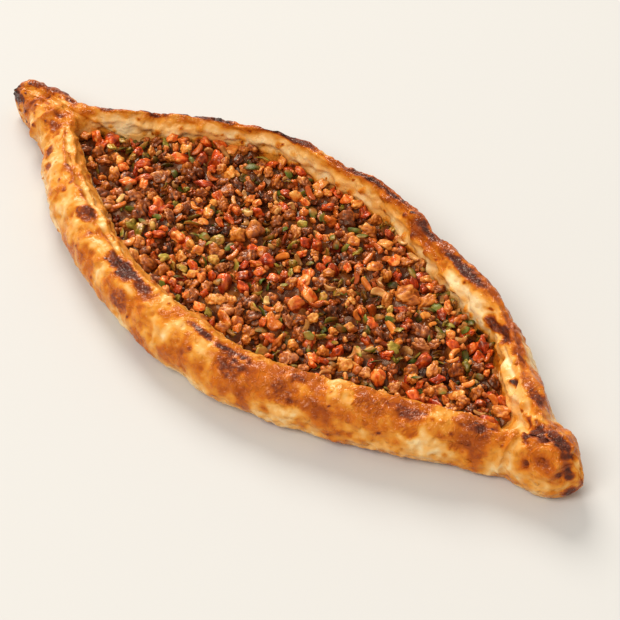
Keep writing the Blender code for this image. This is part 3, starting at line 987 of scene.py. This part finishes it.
class Bed:
    """The heap's surface as a height over a grid, on which pieces are dropped."""

    def __init__(self):
        self.x = np.arange(-0.134, 0.142, GRID)
        self.y = np.arange(-0.056, 0.064, GRID)
        gx, gy = np.meshgrid(self.x, self.y, indexing="ij")
        middle = along(self.x, MIDDLE_LINE)[:, None]
        near = middle - lip_offset(self.x, NEAR)[:, None]
        far = middle + lip_offset(self.x, FAR)[:, None]
        self.inside = (gy > near) & (gy < far)
        self.depth = np.minimum(gy - near, far - gy)
        self.flat = np.stack([gx.ravel(), gy.ravel(), 0 * gx.ravel()], axis=1)
        wavy = 0.6 * gradient_noise(self.flat, 22 * MM, 31) + 0.9 * gradient_noise(self.flat, 9 * MM, 32)
        self.height = np.where(self.inside, CORE_TOP + MM * wavy.reshape(gx.shape), 1.0)
        floor = floor_height(self.x)[:, None]
        self.height = np.where(self.inside, np.maximum(self.height, floor + 0.5 * MM), self.height)

    def rest(self, x, y, half, up):
        """Where a piece of that half width and half height comes to rest: (z, window, dome)."""
        reach = int(half / GRID) + 1
        i, j = int(round((x - self.x[0]) / GRID)), int(round((y - self.y[0]) / GRID))
        window = (slice(max(i - reach, 0), i + reach + 1), slice(max(j - reach, 0), j + reach + 1))
        dx = self.x[window[0]][:, None] - x
        dy = self.y[window[1]][None, :] - y
        dome = up * np.sqrt(np.clip(1.0 - (dx**2 + dy**2) / half**2, 0.0, None))
        under = dome > 0.0
        here = np.where(under & self.inside[window], self.height[window] + dome, -1.0)
        return here.max(), window, dome

    def spots(self, rng, count, margin):
        allowed = np.argwhere(self.inside & (self.depth > margin))
        picks = allowed[rng.integers(0, len(allowed), count)]
        return [(self.x[i], self.y[j]) for i, j in picks]


def fill_trough():
    """Drops every piece of every kind: the heaped bed and {kind: (vertices, triangles, tones)}, the tones holding
    painted shade lower in the heap and in the pieces' hollows.
    """
    rng = np.random.default_rng(77)
    bed = Bed()
    shapes = {
        kind: [shape(1000 + 50 * index + 3 * v) for v in range(variants)]
        for index, (kind, (_, shape, variants, _, _, _)) in enumerate(KINDS.items())
    }
    dropped = []
    names = list(KINDS)
    shares = np.array([KINDS[kind][0] for kind in names])
    order = rng.choice(len(names), PIECES, p=shares / shares.sum())
    for serial, which in enumerate(order):
        kind = names[which]
        _, _, _, sizes, flatness, squash = KINDS[kind]
        vertices, triangles, shape_tone_and_painted_shade = shapes[kind][rng.integers(len(shapes[kind]))]
        half = rng.uniform(*sizes) * MM
        stretch = rng.uniform(0.72, 1.30, 3) * (1.0, 1.0, squash) * half
        placed = (vertices * stretch) @ rotation(rng, flatness).T
        width = 0.5 * float(np.ptp(placed[:, :2], axis=0).mean())
        up = 0.5 * float(np.ptp(placed[:, 2]))
        best = None
        for x, y in bed.spots(rng, CANDIDATES, 0.45 * width):
            z, window, dome = bed.rest(x, y, width * 0.86, up)
            if best is None or z < best[0]:
                best = (z, x, y, window, dome)
        z, x, y, window, dome = best
        z -= 0.22 * up
        if z + up > TOP_LIMIT:
            continue
        placed = placed - placed.mean(axis=0) + (x, y, z)
        bed.height[window] = np.where(dome > 0.0, np.maximum(bed.height[window], z + dome), bed.height[window])
        # Pieces lower in the heap get a lower tone: painted shade deeper down.
        height_share_for_painted_shade = np.clip((placed[:, 2] - 11.5 * MM) / (5.5 * MM), 0.0, 1.0)
        tone_and_painted_shade = rng.uniform(0.28, 0.94) + shape_tone_and_painted_shade + 0.40 * (height_share_for_painted_shade - 0.75)
        dropped.append((kind, placed, triangles, tone_and_painted_shade))

    gaps = gradient_noise(bed.flat, 9 * MM, 33).clip(0.0).reshape(bed.height.shape)
    bed.sauce = blurred(bed.height, bed.inside, 2, 2) - SAUCE_BELOW - 2.4 * MM * gaps
    heap = {kind: ([], [], []) for kind in KINDS}
    for kind, placed, triangles, tone_and_painted_shade in dropped:
        if (placed[:, 2] < sampled(bed, bed.sauce, placed[:, 0], placed[:, 1]) + 0.3 * MM).all():
            continue
        all_vertices, all_triangles, tones_and_painted_shade = heap[kind]
        all_triangles.append(triangles + sum(len(part) for part in all_vertices))
        all_vertices.append(placed)
        tones_and_painted_shade.append(tone_and_painted_shade)
    return bed, {kind: tuple(np.concatenate(part) for part in parts) for kind, parts in heap.items()}


def blurred(values, inside, reach, passes):
    """The values averaged over a square window, inside cells only."""
    total, weight = np.where(inside, values, 0.0), inside.astype(float)
    for _ in range(passes):
        for axis in (0, 1):
            total = sum(np.roll(total, step, axis) for step in range(-reach, reach + 1))
            weight = sum(np.roll(weight, step, axis) for step in range(-reach, reach + 1))
    return total / np.maximum(weight, 1e-9)


def sampled(bed, values, x, y):
    """Values on the bed's grid, read between its points."""
    i = np.clip((x - bed.x[0]) / GRID, 0.0, len(bed.x) - 1.001)
    j = np.clip((y - bed.y[0]) / GRID, 0.0, len(bed.y) - 1.001)
    i0, j0 = i.astype(int), j.astype(int)
    across = mix(values[i0, j0], values[i0 + 1, j0], i - i0)
    return mix(across, mix(values[i0, j0 + 1], values[i0 + 1, j0 + 1], i - i0), j - j0)


def core_piece(material, bed):
    """The sauce under and between the loose pieces, closed underneath, inside the CAD filling."""
    low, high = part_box("filling")
    x = np.arange(low.x + 2 * MM, high.x - 2 * MM, 1.1 * MM)
    spread = -np.cos(np.linspace(0.0, np.pi, 100))
    middle = along(x, MIDDLE_LINE)[:, None]
    near = middle - lip_offset(x, NEAR)[:, None] + 0.4 * MM
    far = middle + lip_offset(x, FAR)[:, None] - 0.4 * MM
    y = mix(near, far, 0.5 + 0.5 * spread[None, :])
    gx = np.broadcast_to(x[:, None], y.shape)
    flat = np.stack([gx.ravel(), y.ravel(), 0 * y.ravel()], axis=1)
    lumps = 0.5 * MM * gradient_noise(flat, 4 * MM, 41) + 0.5 * MM * gradient_noise(flat, 2.2 * MM, 42)
    top = sampled(bed, bed.sauce, gx, y) + lumps.reshape(y.shape)
    top = np.maximum(top, floor_height(x)[:, None] + 0.6 * MM)
    top = np.minimum(top, TOP_LIMIT)
    under = np.full(y.shape, FLOOR_HEIGHT + 0.8 * MM)
    under = np.maximum(under, floor_height(x)[:, None] + 0.2 * MM)
    rings = np.concatenate(
        [np.stack([gx, y, top], axis=2), np.stack([gx, y, under], axis=2)[:, ::-1]], axis=1
    )
    rows, columns = rings.shape[:2]
    row, column = np.meshgrid(np.arange(rows - 1), np.arange(columns), indexing="ij")
    after = (column + 1) % columns
    quads = np.stack(
        [row * columns + column, (row + 1) * columns + column, (row + 1) * columns + after, row * columns + after],
        axis=2,
    ).reshape(-1, 4)
    caps = [list(range(columns)), list(range((rows - 1) * columns, rows * columns))[::-1]]
    mesh = bpy.data.meshes.new("sauce_bed")
    mesh.from_pydata(rings.reshape(-1, 3).tolist(), [], quads.tolist() + caps)
    mesh.validate()
    tone_and_painted_shade = 0.5 + 0.4 * gradient_noise(rings.reshape(-1, 3), 6 * MM, 43)
    for key, values in (("tone_and_painted_shade", tone_and_painted_shade), ("stain", 0.0 * tone_and_painted_shade + 0.15)):
        layer = mesh.attributes.new(key, "FLOAT", "POINT")
        layer.data.foreach_set("value", values.astype(np.float32))
    mesh.shade_smooth()
    mesh.materials.append(material)
    obj = bpy.data.objects.new("sauce_bed", mesh)
    bpy.context.scene.collection.objects.link(obj)
    return obj


MORSELS = {
    # kind: (colour stops, roughness, specular, grain, bump, subsurface, coat)
    "mince_brown": (
        ((0.0, (0.050, 0.010, 0.003)), (0.35, (0.25, 0.048, 0.006)), (0.7, (0.60, 0.160, 0.014)), (1.0, (0.78, 0.31, 0.070))),
        0.30, 0.50, 420.0, 0.6, 0.0, 0.0,
    ),
    "mince_dark": (
        ((0.0, (0.022, 0.006, 0.004)), (0.4, (0.115, 0.024, 0.006)), (0.75, (0.32, 0.074, 0.014)), (1.0, (0.54, 0.17, 0.050))),
        0.26, 0.50, 420.0, 0.6, 0.0, 0.0,
    ),
    "mince_tan": (
        ((0.0, (0.12, 0.024, 0.004)), (0.4, (0.46, 0.105, 0.009)), (0.75, (0.74, 0.23, 0.022)), (1.0, (0.82, 0.37, 0.080))),
        0.32, 0.50, 420.0, 0.6, 0.05, 0.0,
    ),
    "tomato_dice": (
        ((0.0, (0.18, 0.010, 0.003)), (0.45, (0.52, 0.046, 0.005)), (0.8, (0.82, 0.120, 0.010)), (1.0, (0.88, 0.24, 0.040))),
        0.24, 0.50, 300.0, 0.6, 0.06, 0.0,
    ),
    "pepper_dice": (
        ((0.0, (0.42, 0.060, 0.006)), (0.5, (0.72, 0.160, 0.014)), (1.0, (0.88, 0.36, 0.060))),
        0.24, 0.50, 300.0, 0.6, 0.06, 0.0,
    ),
    "tomato_shreds": (
        ((0.0, (0.22, 0.020, 0.003)), (0.5, (0.56, 0.090, 0.008)), (1.0, (0.84, 0.26, 0.030))),
        0.22, 0.50, 300.0, 0.5, 0.10, 0.0,
    ),
    "onion_strips": (
        ((0.0, (0.36, 0.14, 0.030)), (0.5, (0.60, 0.28, 0.070)), (1.0, (0.80, 0.50, 0.16))),
        0.26, 0.40, 260.0, 0.3, 0.12, 0.0,
    ),
    "green_pepper": (
        ((0.0, (0.060, 0.050, 0.004)), (0.5, (0.24, 0.180, 0.016)), (1.0, (0.50, 0.39, 0.060))),
        0.28, 0.40, 260.0, 0.3, 0.06, 0.0,
    ),
    "crumbs": (
        ((0.0, (0.055, 0.010, 0.003)), (0.4, (0.32, 0.060, 0.011)), (0.8, (0.68, 0.19, 0.035)), (1.0, (0.86, 0.40, 0.11))),
        0.32, 0.32, 420.0, 0.5, 0.0, 0.0,
    ),
    "parsley": (
        ((0.0, (0.014, 0.024, 0.003)), (0.5, (0.065, 0.095, 0.007)), (1.0, (0.20, 0.24, 0.025))),
        0.40, 0.35, 500.0, 0.3, 0.0, 0.0,
    ),
}
SAUCE_STOPS = ((0.0, (0.030, 0.006, 0.002)), (0.5, (0.12, 0.026, 0.004)), (1.0, (0.40, 0.13, 0.016)))


# ---------------------------------------------------------------------------------------------
# Put together
# ---------------------------------------------------------------------------------------------
def dress(obj, node):
    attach(obj, "root")
    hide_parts(node)


dress(crust_piece(dough_material()), "crust")
heaped_bed, heap = fill_trough()
sauce = morsel_material("sauce", SAUCE_STOPS, 0.26, 0.5, 350.0, 0.6, 0.0, 0.0)
dress(core_piece(sauce, heaped_bed), "filling")
for kind, (vertices, triangles, tones_and_painted_shade) in heap.items():
    material = morsel_material(kind, *MORSELS[kind])
    stain = smoothstep(0.45 + 0.8 * gradient_noise(vertices, 5 * MM, 81) + 0.5 * gradient_noise(vertices, 1.6 * MM, 82))
    piece = make_mesh(kind, vertices, triangles, material, {"tone_and_painted_shade": tones_and_painted_shade, "stain": stain})
    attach(piece, "root")

# ---------------------------------------------------------------------------------------------
# Floor, light and camera
# ---------------------------------------------------------------------------------------------
def make_floor():
    bpy.ops.mesh.primitive_plane_add(size=8.0, location=(0.0, 0.0, -0.2 * MM))
    floor = bpy.context.object
    floor.name = "floor"
    material, tree, shader = new_material("floor")
    shader.inputs["Base Color"].default_value = (0.62, 0.608, 0.588, 1.0)
    shader.inputs["Roughness"].default_value = 1.0
    shader.inputs["Specular IOR Level"].default_value = 0.0
    floor.data.materials.append(material)


def area_light(name, direction, distance, size, strength, colour):
    """An area light aimed at the pide. Strength is the brightness that it gives a white surface."""
    data = bpy.data.lights.new(name, "AREA")
    data.shape = "DISK"
    data.size = size
    data.color = colour
    data.energy = strength * math.pi**2 * distance**2
    light = bpy.data.objects.new(name, data)
    towards = Vector(direction).normalized()
    light.location = towards * distance
    light.rotation_mode = "QUATERNION"
    light.rotation_quaternion = towards.to_track_quat("Z", "Y")
    bpy.context.scene.collection.objects.link(light)


def make_light():
    world = bpy.data.worlds.new("studio")
    world.use_nodes = True
    background = world.node_tree.nodes["Background"]
    background.inputs["Color"].default_value = (1.0, 0.96, 0.90, 1.0)
    background.inputs["Strength"].default_value = 0.54
    bpy.context.scene.world = world
    bpy.context.scene.view_settings.view_transform = "Standard"
    area_light("key", (-0.74, 0.40, 0.67), 4.0, 2.0, 0.90, (1.0, 0.97, 0.91))
    area_light("fill", (0.05, -0.62, 0.80), 3.2, 1.8, 0.58, (1.0, 0.97, 0.91))


CAMERA_AZIMUTH, CAMERA_ELEVATION = 45.4, 44.0
CAMERA_DISTANCE = 1.192
CAMERA_TARGET = (0.0143, 0.0081, -0.0075)
CAMERA_LENS = 153.4


def make_camera():
    camera = bpy.data.objects.new("camera", bpy.data.cameras.new("camera"))
    turn, lift = math.radians(CAMERA_AZIMUTH), math.radians(CAMERA_ELEVATION)
    back = Vector((math.sin(turn) * math.cos(lift), -math.cos(turn) * math.cos(lift), math.sin(lift)))
    camera.location = Vector(CAMERA_TARGET) + back * CAMERA_DISTANCE
    camera.rotation_mode = "QUATERNION"
    camera.rotation_quaternion = (-back).to_track_quat("-Z", "Y")
    camera.data.lens = CAMERA_LENS
    camera.data.sensor_width = 36.0
    bpy.context.scene.collection.objects.link(camera)
    bpy.context.scene.camera = camera


make_floor()
make_light()
make_camera()
